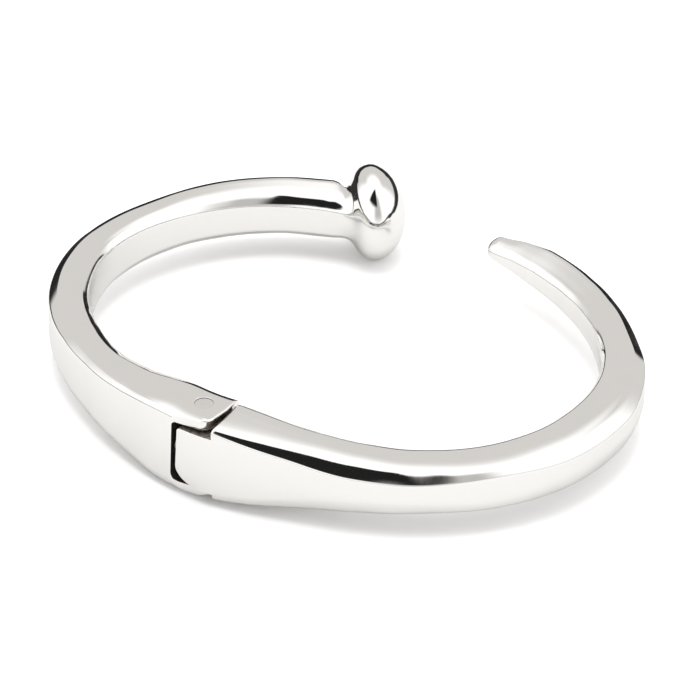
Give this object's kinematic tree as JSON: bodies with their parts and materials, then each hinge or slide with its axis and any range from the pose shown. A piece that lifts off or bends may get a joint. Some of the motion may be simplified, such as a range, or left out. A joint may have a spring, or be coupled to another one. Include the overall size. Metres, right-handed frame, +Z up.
{
  "type": "hinged bangle bracelet",
  "caption": "Polished silver open bangle shaped like a bent nail, with a domed head, a blunt point and a spring-closed hinge opposite the gap.",
  "frame": {"origin": "centre of the bangle's box, at the height of the surface it lies on", "axes": "+X along the long axis of the oval, +Y from the hinge towards the gap, +Z up, parallel to the hinge pin"},
  "size_m": [0.0733, 0.0594, 0.0117],
  "materials": {
    "polished_silver": "mirror polished silver",
    "pin_silver": "silver, ground flush and polished",
    "spring_steel": "plain drawn and turned steel"
  },
  "bodies": {
    "head_side": {"head_arm": "polished_silver", "hinge_pin": "pin_silver", "closing_spring": "spring_steel"},
    "point_side": {"point_arm": "polished_silver"},
    "plunger": {"closing_plunger": "spring_steel"}
  },
  "joints": [
    {"name": "hinge", "type": "hinge", "parent": "head_side", "child": "point_side", "pos_m": [-0.00415, -0.02595, 0.00585], "axis": [0, 0, -1], "range_deg": [0, 12], "stiffness_Nm_per_rad": 0.3, "springref_deg": -17.19},
    {"name": "plunger_slide", "type": "slide", "parent": "head_side", "child": "plunger", "axis": [0.9703, -0.2419, 0], "range_m": [-0.00045, 0], "deforming": ["closing_spring"]}
  ],
  "couplings": [
    {"joint": "plunger_slide", "follows": "hinge", "m_per_rad": -0.00195}
  ]
}
